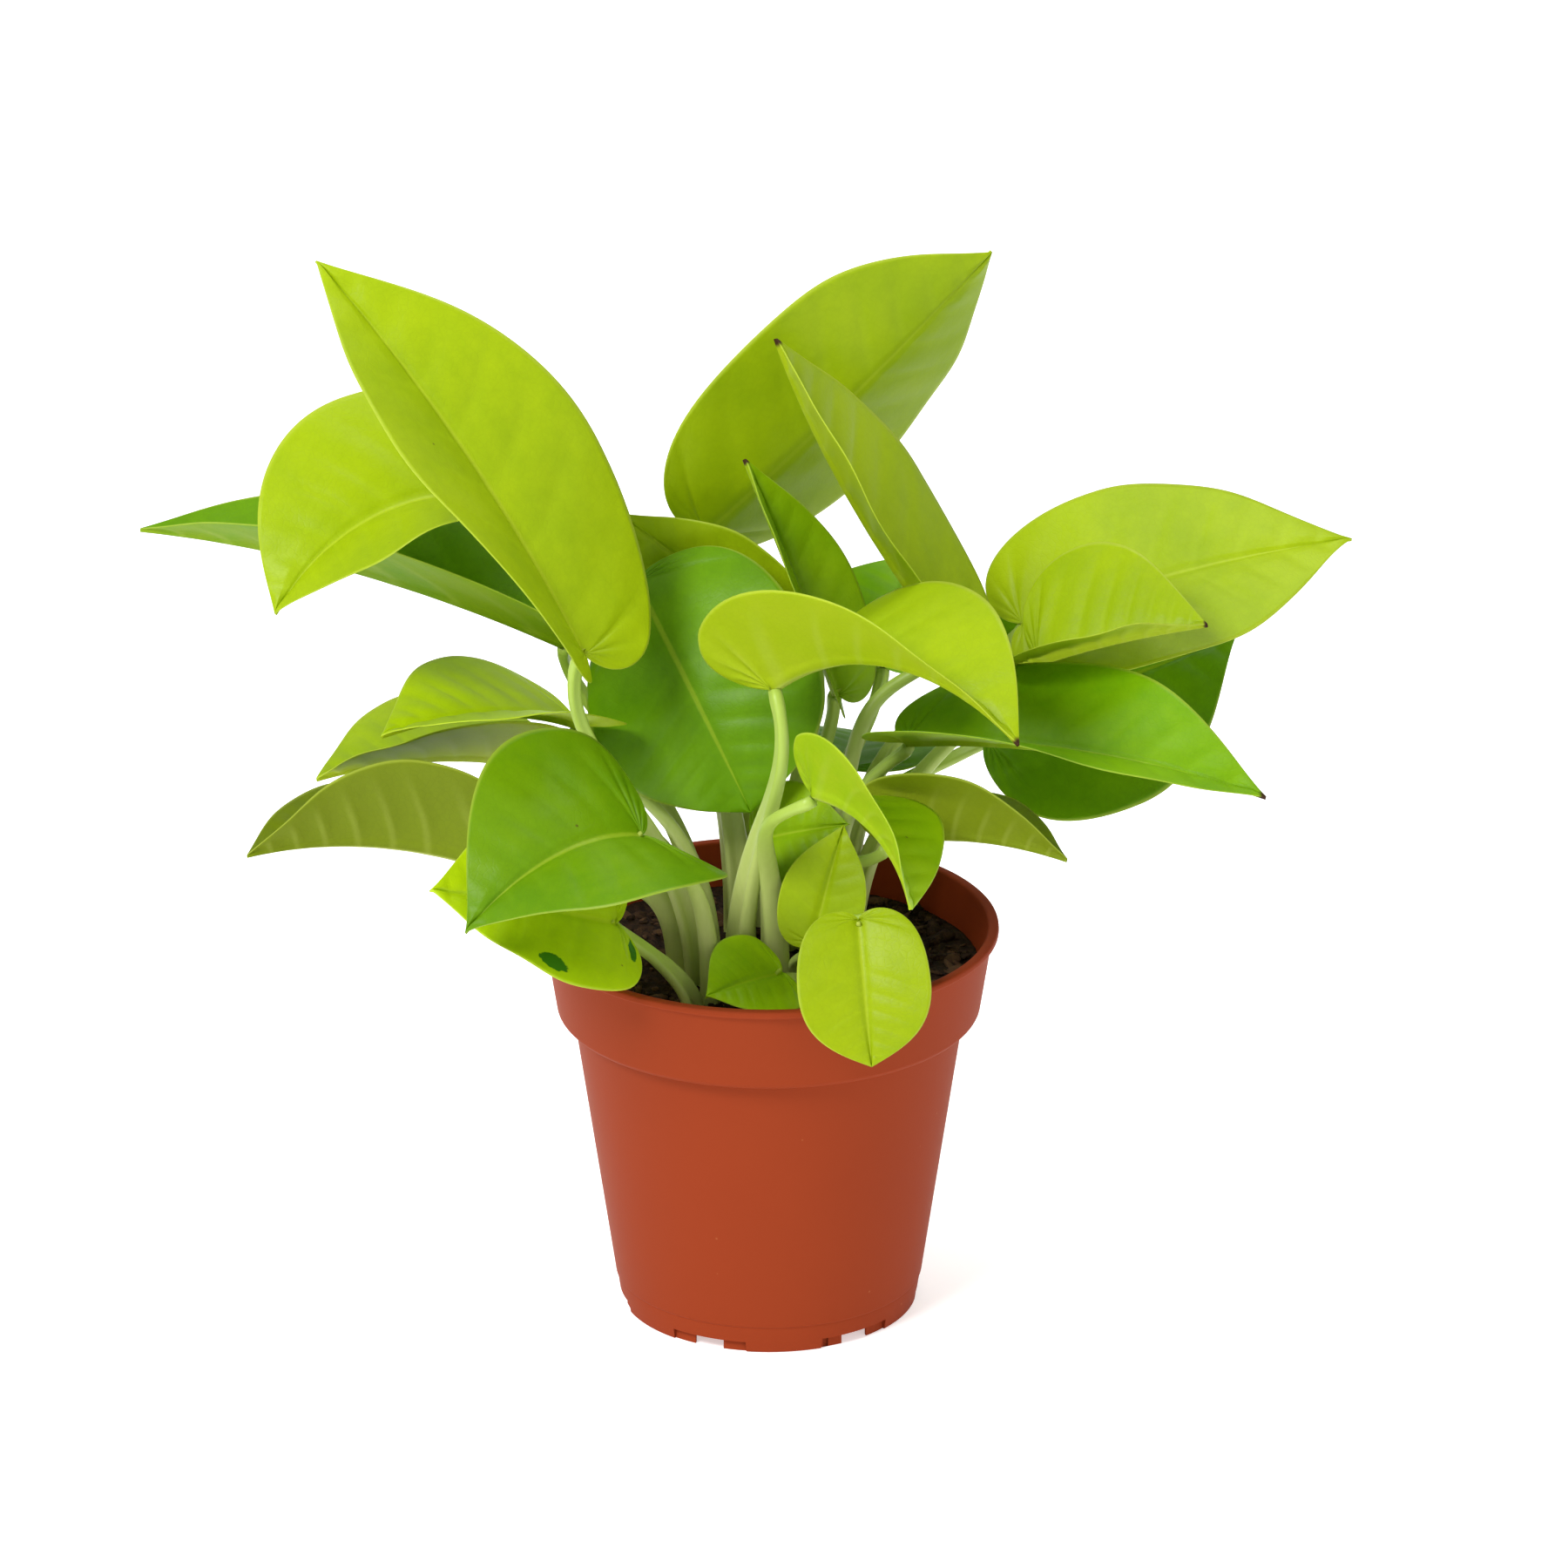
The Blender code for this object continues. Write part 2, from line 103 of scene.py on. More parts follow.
LEAVES = {
    # standing up at the back
    "leaf_crest": leaf((-14, 44, 88), (51, 59, 151), 60, face=(0.3, -1, 0), fold=(5, -36), arch=15,
                       widest=0.44, lobe=0.05, foot=(-2, 22)),
    "leaf_tall_left": leaf((-41, -22, 84), (-101, 15, 164), 59, face=(0.6, -0.8, 0.3), fold=(35, 8),
                           sweep=-12, arch=10, twist=-40, foot=(-16, -13), knee=55),
    "leaf_tall_right": leaf((42, 9, 74), (2, 8, 148), 57, face=(0.9, -0.35, 0.3), fold=(38, 5), arch=-20,
                            foot=(16, 1), rise=75, knee=80),
    "leaf_centre_up": leaf((16, 17, 59), (-5, 20, 115), 27, face=(0.5, -0.85, 0.2), fold=(60, 5), arch=10,
                           foot=(5, 7), tone="fresh"),
    # to the left
    "leaf_left_round": leaf((-63, 26, 104), (-111, -2, 86), 60, face=(-0.3, -0.8, 0.6), fold=(45, 5), arch=50,
                            sweep=-50, foot=(-8, 21), rise=80, knee=25),
    "leaf_left_long": leaf((-46, 18, 71), (-144, 48, 88), 43, face=(0, -0.6, 0.8), fold=(75, 5), arch=35,
                           foot=(-15, 10), knee=80, tone="dark"),
    "leaf_left_bright": leaf((-43, 14, 53), (-87, -13, 61), 52, face=(-0.2, -0.3, 0.9), fold=(28, 0), arch=40,
                             lobe=0.06, foot=(-12, -2)),
    "leaf_left_under": leaf((-52, 26, 38), (-103, 11, 41), 62, face=(-0.1, 0, 1), fold=(34, 10), arch=30,
                            foot=(-17, 4)),
    # its olive tone is painted shade
    "leaf_left_low": leaf((-63, -10, 28), (-117, -25, 37), 50, face=(-0.4, 0.75, 0.5), fold=(10, 75), arch=40,
                          foot=(-20, -8), tone="olive"),
    # at the front
    "leaf_front_left": leaf((-28, -38, 47), (-67, -66, 35), 62, face=(-0.2, -0.5, 0.85), fold=(12, 20), arch=75,
                            widest=0.27, lobe=0.16, foot=(-13, -21), tone="mid"),
    "leaf_front_rim": leaf((-34, -29, 22), (-75, -48, 38), 50, face=(0, -0.7, 0.7), fold=(25, 5), arch=10,
                           foot=(-17, -27), rise=8),
    "leaf_front_hang": leaf((20, -46, 30), (23, -62, 1), 30, face=(0, -1, 0.2), fold=(8, 8), arch=20, widest=0.48,
                            foot=(15, -30), rise=15, knee=60),
    "leaf_front_small": leaf((3, -24, 8), (-14, -38, 8), 24, face=(0, -0.6, 0.8), fold=(5, 5), arch=20,
                             foot=(8, -19), rise=5, tone="fresh"),
    "leaf_front_right": leaf((10, -38, 57), (32, -55, 36), 50, face=(0.35, 0, 0.95), fold=(5, 38), arch=75,
                             twist=35, foot=(2, -14), tone="fresh"),
    "leaf_middle_round": leaf((-3, -4, 32), (18, -14, 40), 24, face=(0, -0.8, 0.6), fold=(5, 5), arch=20,
                              foot=(1, 2), tone="fresh"),
    "leaf_middle_up": leaf((10, -24, 15), (17, -17, 41), 20, face=(-0.2, -0.9, 0.3), fold=(5, 5), arch=20,
                           foot=(6, -13), rise=8),
    "leaf_middle_dark": leaf((-30, 23, 84), (-4, -10, 41), 60, face=(0, -0.9, 0.4), fold=(10, -36), arch=55,
                             widest=0.52, lobe=0.06, foot=(-6, 7), rise=50, knee=105, tone="dark"),
    "leaf_behind_pale": leaf((3, 29, 70), (-34, 36, 96), 30, face=(0, -1, -0.2), fold=(5, 5), arch=10,
                             foot=(2, 14)),
    # to the right
    "leaf_right_bright": leaf((1, -25, 77), (55, -69, 81), 56, face=(0.1, 0, 1), fold=(31, 42), arch=75, twist=28,
                              lobe=0.13, foot=(-7, -12), knee=85, stem=2.6),
    "leaf_right_far": leaf((58, 34, 70), (134, 52, 84), 60, face=(0, -0.35, 0.95), fold=(5, 5), arch=20,
                           foot=(17, 11), rise=55),
    "leaf_right_upper": leaf((61, 13, 69), (99, 5, 81), 52, face=(0, -0.6, 0.8), fold=(5, 62), arch=20,
                             foot=(19, 6)),
    "leaf_right_dark": leaf((50, 30, 44), (108, 55, 59), 62, face=(0, -0.7, 0.7), fold=(5, 5), arch=10,
                            foot=(14, 15), tone="dark"),
    "leaf_right_mid": leaf((31, -9, 58), (111, -35, 55), 54, face=(0, -0.4, 0.9), fold=(5, 40), arch=30,
                           twist=20, foot=(14, -5), tone="mid"),
    # its olive tone is painted shade
    "leaf_right_low": leaf((26, -12, 35), (67, -30, 38), 40, face=(0, 0, 1), fold=(10, 65), arch=30,
                           foot=(13, -12), tone="olive"),
    # behind the rest
    "leaf_back_right": leaf((26, 26, 63), (33, 62, 76), 40, face=(0, -0.4, 0.9), fold=(5, 5), arch=20,
                            foot=(9, 18), tone="mid"),
    "leaf_back_dark": leaf((18, 26, 38), (24, 66, 30), 40, face=(0, -0.2, 0.9), fold=(5, 5), arch=30,
                           foot=(8, 24), tone="dark"),
}


def bezier(points, t):
    a, b, c, d = (np.asarray(p, float) for p in points)
    t = np.asarray(t, float)[..., None]
    return a * (1 - t) ** 3 + 3 * b * t * (1 - t) ** 2 + 3 * c * t**2 * (1 - t) + d * t**3


def margin(row, s):
    """Points (x, y) of one half's edge for s from 0, where the stem joins, round the lobe to 1, the tip."""
    lobe = [(0, 0), (-row.lobe, 0.12), (-1.45 * row.lobe, 1), (row.widest, 1)]
    side = [(row.widest, 1), (row.widest + 0.32, 1), (0.68 + 0.45 * row.widest, 1.5 * row.widest - 0.24), (1, 0)]
    behind = bezier(lobe, np.clip(s / LOBE_SHARE, 0, 1))
    ahead = bezier(side, np.clip((s - LOBE_SHARE) / (1 - LOBE_SHARE), 0, 1))
    return np.where((s < LOBE_SHARE)[..., None], behind, ahead)


def blade_xy(row, s, v):
    """The flat blade: s is the vein, from the lobe to the tip, and v runs from -1 to 1 across it."""
    edge = margin(row, s)
    start = np.clip(edge[..., 0] - 0.20 * edge[..., 1], 0, 1) * np.clip(s / LOBE_SHARE, 0, 1) ** 0.5
    start = np.where(s >= 1, 1.0, start)
    out = np.abs(v)
    x = start + (edge[..., 0] - start) * out**1.25
    y = edge[..., 1] * out * np.sign(v)
    return x, y


def unit(v):
    v = np.asarray(v, float)
    return v / np.linalg.norm(v)


def place(point):
    """A point of the leaf table, with its height taken from the pot's underside."""
    return np.multiply(point, GROWTH) + (0, 0, SOIL_TOP)


def blade_axes(row):
    """Forward, left and upward directions of a blade, with the upward one as near its face as it can be."""
    forward = unit(np.subtract(row.tip, row.base))
    face = np.asarray(row.face, float)
    up = unit(face - (face @ forward) * forward)
    return np.array([forward, np.cross(up, forward), up])


STATIONS = np.linspace(0, 1, 33)


def midrib(row):
    """Stations along a blade in its own axes: their points, and the forward, left and up directions there."""
    pitch = np.radians(row.arch) * (0.5 - STATIONS)
    yaw = np.radians(row.sweep) * (0.5 - STATIONS)
    twist = np.radians(row.twist) * (STATIONS - 0.5)
    ahead = np.stack([np.cos(pitch) * np.cos(yaw), np.cos(pitch) * np.sin(yaw), np.sin(pitch)], 1)
    level = np.stack([-np.sin(yaw), np.cos(yaw), 0 * yaw], 1)
    above = np.cross(ahead, level)
    left = level * np.cos(twist)[:, None] + above * np.sin(twist)[:, None]
    up = above * np.cos(twist)[:, None] - level * np.sin(twist)[:, None]
    points = np.vstack([[0, 0, 0], np.cumsum((ahead[1:] + ahead[:-1]) / 2, 0)]) / (len(STATIONS) - 1)
    chord = GROWTH * np.linalg.norm(np.subtract(row.tip, row.base))
    length = chord / np.linalg.norm(points[-1])
    points = points * length
    points = points - STATIONS[:, None] * (points[-1] - [chord, 0, 0])
    return points, ahead, left, up, length


def across(share, fold, curl, half):
    """How far out and how far up a point at this share of the half width comes."""
    start, turn = math.radians(fold), math.radians(curl)
    if curl == 0:
        return half * share * math.cos(start), half * share * math.sin(start)
    end = start + turn * share
    return half * (np.sin(end) - math.sin(start)) / turn, half * (math.cos(start) - np.cos(end)) / turn


def along(table, x):
    """Values of a table of stations at places x along the blade."""
    return np.stack([np.interp(x, STATIONS, table[:, k]) for k in range(3)], -1)


def bend(row, x, y):
    """Where the flat blade's points come once it is folded and arched, in its own axes."""
    points, ahead, left, up, length = midrib(row)
    inside = np.clip(x, 0, 1)
    half = GROWTH * row.width / 2
    spine = along(points, inside) + (np.minimum(x, 0) * length)[..., None] * ahead[0]
    out_left, up_left = across(np.abs(y), row.fold[0], row.curl[0], half)
    out_right, up_right = across(np.abs(y), row.fold[1], row.curl[1], half)
    out = np.where(y > 0, out_left, -out_right)
    rise = np.where(y > 0, up_left, up_right)
    return spine + out[..., None] * along(left, inside) + rise[..., None] * along(up, inside)


def stem_line(row, count):
    """Points along a leaf stem, from its foot in the soil to just under its blade."""
    axes = blade_axes(row)
    points, ahead, left, up, length = midrib(row)
    ahead, up = ahead[0] @ axes, up[0] @ axes
    knee = math.radians(row.knee)
    arrive = math.cos(knee) * ahead + math.sin(knee) * up
    foot = place((*row.foot, 0)) - [0, 0, ROOTED]
    droop = max(0, -math.sin(math.radians(min(row.fold))))  # of a half that comes down beside the stem
    below = BLADE_THICKNESS + GAP + GROWTH * STEM_TOP_RADIUS * (abs(math.cos(knee)) + droop)
    end = place(row.base) - below * up
    span = np.linalg.norm(end - foot)
    turns = [foot + [0, 0, ROOTED], foot + [0, 0, ROOTED + GROWTH * row.rise], end - arrive * span * 0.3, end]
    return np.vstack([foot, bezier(turns, np.linspace(0, 1, count - 1))])


# ---- looks ----
BLADE_ROWS = 88
BLADE_COLUMNS = 44
VEINS = 12
LEAF_THICKNESS = 0.5
MIDRIB_DEPTH = 1.1
STEM_RINGS = 44
STEM_FULLNESS = 1.35
STEM_SIDES = 20
POT_SIDES = 180
SOIL_RINGS = 56
SOIL_SIDES = 220
CRUMBS = 900
SEED = 7

CAMERA_TARGET = (3.5, 0, 126.0)
CAMERA_HEIGHT = 21.8
CAMERA_DISTANCE = 2300.0
CAMERA_LENS = 233.2

WHITE = (1.0, 1.0, 1.0)
PAPER_GLOW = 0.5
TONES = {  # colour of the upper side, of its deeper patches, and of the underside
    "lime": ((0.42, 0.56, 0.004), (0.33, 0.47, 0.003), (0.46, 0.57, 0.012)),
    # olive: painted shade, a lime leaf's colours darkened for leaves turned away from the light
    "olive": ((0.20, 0.27, 0.003), (0.14, 0.20, 0.002), (0.22, 0.29, 0.005)),
    "fresh": ((0.33, 0.52, 0.003), (0.24, 0.43, 0.002), (0.42, 0.55, 0.012)),
    "mid": ((0.24, 0.47, 0.002), (0.16, 0.38, 0.0015), (0.36, 0.50, 0.010)),
    "dark": ((0.165, 0.36, 0.0010), (0.115, 0.28, 0.0008), (0.28, 0.42, 0.008)),
}
BLOTCHES = {  # dark green spots: how far along, how far across and how wide
    "leaf_front_rim": ((0.22, 0.62, 0.080), (0.55, 0.80, 0.050), (0.82, 0.30, 0.045)),
}
# painted light and shade: factors over 1 paint light into a leaf's colours, factors under 1 paint shade into them
PAINTED_LIGHT_SCALES = {"leaf_front_left": 0.74, "leaf_front_rim": 1.3, "leaf_front_small": 1.4, "leaf_front_right": 1.1, "leaf_front_hang": 0.9,
          "leaf_left_bright": 1.2}
BROWN_TIPS = {"leaf_right_bright", "leaf_right_mid", "leaf_right_upper", "leaf_tall_right", "leaf_centre_up"}


def socket_of(tree, target, value):
    """Links an output to this input, or sets the input to a plain value."""
    if isinstance(value, bpy.types.NodeSocket):
        tree.links.new(value, target)
    else:
        target.default_value = value


def node(tree, kind, inputs=None, **settings):
    made = tree.nodes.new(kind)
    for name, value in settings.items():
        setattr(made, name, value)
    for name, value in (inputs or {}).items():
        socket_of(tree, made.inputs[name], value)
    return made


def calc(tree, operation, a, b=0.0, c=0.0):
    return node(tree, "ShaderNodeMath", {0: a, 1: b, 2: c}, operation=operation).outputs[0]


def step(tree, value, low, high, bottom=0.0, top=1.0):
    """Rises smoothly from bottom to top as value goes from low to high."""
    made = node(tree, "ShaderNodeMapRange", {0: value, 1: low, 2: high, 3: bottom, 4: top},
                interpolation_type="SMOOTHSTEP")
    return made.outputs[0]


def mix(tree, share, a, b, kind="MIX"):
    a, b = ((*c, 1.0) if isinstance(c, tuple) and len(c) == 3 else c for c in (a, b))
    return node(tree, "ShaderNodeMix", {0: share, 6: a, 7: b}, data_type="RGBA", blend_type=kind).outputs[2]


def noise(tree, where, scale, detail=3.0, rough=0.5):
    inputs = {"Vector": where, "Scale": scale, "Detail": detail, "Roughness": rough}
    return node(tree, "ShaderNodeTexNoise", inputs).outputs[0]


def cells(tree, where, scale, feature="F1"):
    return node(tree, "ShaderNodeTexVoronoi", {"Vector": where, "Scale": scale}, feature=feature)


def bump(tree, height, distance, strength=1.0):
    return node(tree, "ShaderNodeBump", {"Height": height, "Distance": distance, "Strength": strength}).outputs[0]


def start_material(name):
    """A material with an empty tree: the tree, its output node and the position on the object."""
    material = bpy.data.materials.new(name)
    material.use_nodes = True
    tree = material.node_tree
    tree.nodes.clear()
    output = tree.nodes.new("ShaderNodeOutputMaterial")
    where = tree.nodes.new("ShaderNodeTexCoord").outputs["Object"]
    return material, tree, output, where


def principled(tree, colour, roughness, normal=None, **more):
    colour = (*colour, 1.0) if isinstance(colour, tuple) else colour
    inputs = {"Base Color": colour, "Roughness": roughness, **more}
    if normal is not None:
        inputs["Normal"] = normal
    return node(tree, "ShaderNodeBsdfPrincipled", inputs).outputs[0]


def thin(tree, surface, colour, share):
    """Lets some of the light that falls on the far side through."""
    through = node(tree, "ShaderNodeBsdfTranslucent", {"Color": colour}).outputs[0]
    return node(tree, "ShaderNodeMixShader", {0: share, 1: surface, 2: through}).outputs[0]


def leaf_material(name, tone, shade, under=False, brown_tip=False, blotches=()):
    """A blade's skin. Its map holds how far along the blade a point is and how far across."""
    # shade scales all three colours of the tone: painted light and shade for single leaves
    light, deep, back = (tuple(min(1, shade * part) for part in colour) for colour in TONES[tone])
    material, tree, output, where = start_material(name)
    place_on_leaf = node(tree, "ShaderNodeSeparateXYZ", {0: node(tree, "ShaderNodeUVMap", uv_map="veins").outputs[0]})
    along_leaf = place_on_leaf.outputs[0]
    side = calc(tree, "MULTIPLY_ADD", place_on_leaf.outputs[1], 2.0, -1.0)
    out = calc(tree, "ABSOLUTE", side)
    broad = noise(tree, where, 32.0, 3.0)
    fine = noise(tree, where, 260.0, 4.0, 0.6)
    wander = calc(tree, "MULTIPLY_ADD", broad, 0.5, -0.25)
    vein_place = calc(tree, "MULTIPLY_ADD", along_leaf, float(VEINS), wander)
    off_vein = calc(tree, "PINGPONG", vein_place, 0.5)
    vein = calc(tree, "MULTIPLY", step(tree, off_vein, 0.02, 0.16, 1.0, 0.0), step(tree, out, 0.3, 0.95, 1.0, 0.0))
    midrib_line = step(tree, out, 0.010, 0.035, 1.0, 0.0)
    net = step(tree, cells(tree, where, 620.0, "DISTANCE_TO_EDGE").outputs["Distance"], 0.0, 0.12, 1.0, 0.0)
    patch = step(tree, calc(tree, "MULTIPLY_ADD", fine, 0.35, broad), 0.45, 0.95)
    if under:
        colour = mix(tree, patch, back, light)
        colour = mix(tree, calc(tree, "MULTIPLY", vein, 0.14), colour, (0.62, 0.70, 0.14))
        colour = mix(tree, calc(tree, "MULTIPLY", midrib_line, 0.5), colour, (0.66, 0.74, 0.18))
        roughness = 0.55
    else:
        colour = mix(tree, patch, light, deep)
        colour = mix(tree, calc(tree, "MULTIPLY", vein, 0.10), colour, tuple(min(1, 1.2 * c + 0.01) for c in light))
        colour = mix(tree, calc(tree, "MULTIPLY", midrib_line, 0.28), colour, (0.60, 0.70, 0.05))
        roughness = calc(tree, "MULTIPLY_ADD", broad, 0.18, 0.30)
    colour = mix(tree, calc(tree, "MULTIPLY", net, 0.07), colour, tuple(0.7 * c for c in deep))
    edge = step(tree, out, 0.965, 0.995, 0.0, 0.4)
    colour = mix(tree, edge, colour, (0.62, 0.72, 0.10))
    speck = cells(tree, where, 95.0)
    chosen = step(tree, node(tree, "ShaderNodeSeparateColor", {0: speck.outputs["Color"]}).outputs[0], 0.86, 0.87)
    dots = calc(tree, "MULTIPLY", step(tree, speck.outputs["Distance"], 0.02, 0.05, 0.75, 0.0), chosen)
    colour = mix(tree, dots, colour, (0.10, 0.06, 0.01))
    if brown_tip:
        colour = mix(tree, step(tree, along_leaf, 0.975, 0.99), colour, (0.06, 0.025, 0.008))
    for forward, sideways, radius in blotches:
        dx = calc(tree, "SUBTRACT", along_leaf, forward)
        dy = calc(tree, "MULTIPLY", calc(tree, "SUBTRACT", side, sideways), 0.5)
        away = calc(tree, "SQRT", calc(tree, "ADD", calc(tree, "MULTIPLY", dx, dx), calc(tree, "MULTIPLY", dy, dy)))
        ragged = calc(tree, "MULTIPLY_ADD", calc(tree, "SUBTRACT", fine, 0.5), 1.6 * radius, away)
        colour = mix(tree, step(tree, ragged, 0.85 * radius, radius, 1.0, 0.0), colour, (0.045, 0.20, 0.006))
    puckers = noise(tree, where, 110.0, 2.0)
    height = calc(tree, "MULTIPLY_ADD", puckers, 5.0, calc(tree, "MULTIPLY_ADD", net, -0.25, fine))
    normal = bump(tree, height, 0.00012, 0.5)
    surface = principled(tree, colour, roughness, normal, **{"Specular IOR Level": 0.18})
    glow = mix(tree, 1.0, colour, (1.0, 1.0, 0.4), "MULTIPLY")
    shader = thin(tree, surface, glow, 0.3)
    tree.links.new(shader, output.inputs["Surface"])
    return material


def stem_material():
    material, tree, output, where = start_material("stem_skin")
    place_on_stem = node(tree, "ShaderNodeSeparateXYZ", {0: node(tree, "ShaderNodeUVMap", uv_map="veins").outputs[0]})
    up = place_on_stem.outputs[0]
    streaks = node(tree, "ShaderNodeMapping", {0: where, 3: (1.0, 1.0, 0.12)}).outputs[0]
    grain = noise(tree, streaks, 900.0, 3.0)
    colour = mix(tree, step(tree, up, 0.1, 0.75), (0.62, 0.68, 0.24), (0.46, 0.62, 0.10))
    colour = mix(tree, calc(tree, "MULTIPLY", grain, 0.35), colour, (0.34, 0.46, 0.06))
    surface = principled(tree, colour, 0.42, bump(tree, grain, 0.0001, 0.6))
    tree.links.new(thin(tree, surface, colour, 0.15), output.inputs["Surface"])
    return material


def soil_material():
    material, tree, output, where = start_material("soil_crumb")
    shade = node(tree, "ShaderNodeAttribute", attribute_name="shade").outputs["Fac"]
    coarse = noise(tree, where, 420.0, 6.0, 0.7)
    fine = noise(tree, where, 2200.0, 4.0, 0.7)
    colour = mix(tree, step(tree, coarse, 0.35, 0.7), (0.012, 0.006, 0.004), (0.060, 0.028, 0.014))
    colour = mix(tree, step(tree, shade, 0.0, 1.0, 0.0, 0.85), colour, (0.13, 0.065, 0.032))
    colour = mix(tree, step(tree, fine, 0.62, 0.8, 0.0, 0.5), colour, (0.20, 0.12, 0.07))
    surface = principled(tree, colour, 0.95, bump(tree, fine, 0.0006, 1.0), **{"Specular IOR Level": 0.2})
    tree.links.new(surface, output.inputs["Surface"])
    return material


def pot_material():
    material, tree, output, where = start_material("pot_plastic")
    broad = noise(tree, where, 18.0, 3.0)
    fine = noise(tree, where, 1600.0, 3.0)
    dust = cells(tree, where, 260.0)
    picked = step(tree, node(tree, "ShaderNodeSeparateColor", {0: dust.outputs["Color"]}).outputs[0], 0.90, 0.91)
    dots = calc(tree, "MULTIPLY", step(tree, dust.outputs["Distance"], 0.05, 0.09, 0.45, 0.0), picked)
    colour = mix(tree, broad, (0.245, 0.035, 0.0100), (0.280, 0.042, 0.0115))
    colour = mix(tree, dots, colour, (0.42, 0.12, 0.05))
    roughness = calc(tree, "MULTIPLY_ADD", broad, 0.12, 0.50)
    surface = principled(tree, colour, roughness, bump(tree, fine, 0.00004, 0.5), **{"Specular IOR Level": 0.04})
    tree.links.new(surface, output.inputs["Surface"])
    return material


def paper_material():
    """A white sweep that glows a little, as one lit on its own does."""
    material, tree, output, _ = start_material("floor_paper")
    glow = {"Specular IOR Level": 0.0, "Emission Color": (1, 1, 1, 1), "Emission Strength": PAPER_GLOW}
    tree.links.new(principled(tree, (0.95, 0.95, 0.95), 1.0, **glow), output.inputs["Surface"])
    return material


def object_from(name, points, faces, materials, smooth=True):
    """A mesh object from points in millimetres."""
    mesh = bpy.data.meshes.new(name)
    mesh.from_pydata([tuple(point) for point in np.asarray(points) * MM], [], [tuple(face) for face in faces])
    mesh.validate()
    for material in materials:
        mesh.materials.append(material)
    if smooth:
        mesh.shade_smooth()
    thing = bpy.data.objects.new(name, mesh)
    bpy.context.scene.collection.objects.link(thing)
    return thing


def put(thing, node_name):
    """Shows this piece in place of the part's node of the same place."""
    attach(thing, "root")
    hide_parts(node_name)
    return thing


def grid_faces(rows, columns, first=0, close=False):
    """Quads of a grid of points, numbered row by row, with the last column joined to the first if it closes."""
    faces = []
    last = columns if close else columns - 1
    for i in range(rows - 1):
        for j in range(last):
            k = (j + 1) % columns
            a, b = first + i * columns + j, first + i * columns + k
            faces.append((a, b, b + columns, a + columns))
    return faces


def surface_normals(points):
    down = np.gradient(points, axis=0)
    over = np.gradient(points, axis=1)
    normals = np.cross(down, over)
    length = np.linalg.norm(normals, axis=-1, keepdims=True)
    normals = normals / np.maximum(length, 1e-9)
    normals[0], normals[-1] = normals[1], normals[-2]
    return normals


def relief(row, s, v, random):
    """How far the upper side stands off the smooth blade: raised between its veins, sunk at the midrib and
    waved towards its edge."""
    out = np.abs(v)
    half = GROWTH * row.width / 2
    between = np.abs(np.sin(math.pi * VEINS * s)) ** 0.7
    quilt = 0.020 * half * between * np.clip(3 * out, 0, 1) * (1 - out**3) * np.clip(6 * s, 0, 1)
    groove = -0.55 * np.exp(-((out * half / 1.1) ** 2)) * np.clip(10 * s, 0, 1)
    wave = np.zeros_like(s)
    for count in (1.3, 2.4, 4.1):
        left, right = random.uniform(0, math.tau, 2)
        phase = np.where(v > 0, left, right)
        wave = wave + 0.030 * half / count**0.8 * np.sin(math.tau * count * s + phase)
    return quilt + groove + wave * out**2 * np.sin(math.pi * np.clip(s, 0, 1)) ** 0.7


def blade_grid(row, random):
    """Points of a blade's upper and under sides, in millimetres, with the map of each."""
    s, v = np.meshgrid(np.linspace(0, 1, BLADE_ROWS), np.linspace(-1, 1, BLADE_COLUMNS), indexing="ij")
    x, y = blade_xy(row, s, v)
    smooth = bend(row, x, y)
    normals = surface_normals(smooth)
    if normals[BLADE_ROWS // 2, BLADE_COLUMNS // 2, 2] < 0:
        normals = -normals
    out = np.abs(v)
    half = GROWTH * row.width / 2
    top = smooth + normals * relief(row, s, v, random)[..., None]
    rib = MIDRIB_DEPTH * np.exp(-((out * half / 1.2) ** 2)) * (1 - s) ** 0.7
    depth = (LEAF_THICKNESS * (1 - 0.6 * out**8) + rib)[..., None]
    under = top - normals * depth
    return top, under, np.stack([s, 0.5 + 0.5 * v], -1)


def make_blade(name, row, random, materials):
    top, under, place_map = blade_grid(row, random)
    axes = blade_axes(row)
    count = BLADE_ROWS * BLADE_COLUMNS
    points = np.vstack([top.reshape(-1, 3), under.reshape(-1, 3)]) @ axes + place(row.base)
    upper = grid_faces(BLADE_ROWS, BLADE_COLUMNS)
    lower = [tuple(count + k for k in face[::-1]) for face in upper]
    rim = []
    for column in (0, BLADE_COLUMNS - 1):
        for i in range(BLADE_ROWS - 1):
            a, b = i * BLADE_COLUMNS + column, (i + 1) * BLADE_COLUMNS + column
            quad = (a, b, count + b, count + a)
            rim.append(quad if column == 0 else quad[::-1])
    flip = np.cross(top[3, 5] - top[2, 5], top[2, 6] - top[2, 5])[2] < 0
    faces = [face[::-1] if flip else face for face in upper + lower + rim]
    blade = object_from(name, points, faces, materials)
    mesh = blade.data
    layer = mesh.uv_layers.new(name="veins")
    flat_map = np.vstack([place_map.reshape(-1, 2)] * 2)
    corners = np.empty(len(mesh.loops), np.int32)
    mesh.loops.foreach_get("vertex_index", corners)
    layer.data.foreach_set("uv", flat_map[corners].astype(np.float32).ravel())
    for polygon in mesh.polygons:
        polygon.material_index = int(min(polygon.vertices) >= count)
    return weld(blade)


def weld(thing):
    bm = bmesh.new()
    bm.from_mesh(thing.data)
    bmesh.ops.remove_doubles(bm, verts=bm.verts, dist=0.00001)
    bmesh.ops.dissolve_degenerate(bm, edges=bm.edges, dist=0.000005)
    bmesh.ops.recalc_face_normals(bm, faces=bm.faces)
    bm.to_mesh(thing.data)
    bm.free()
    return thing


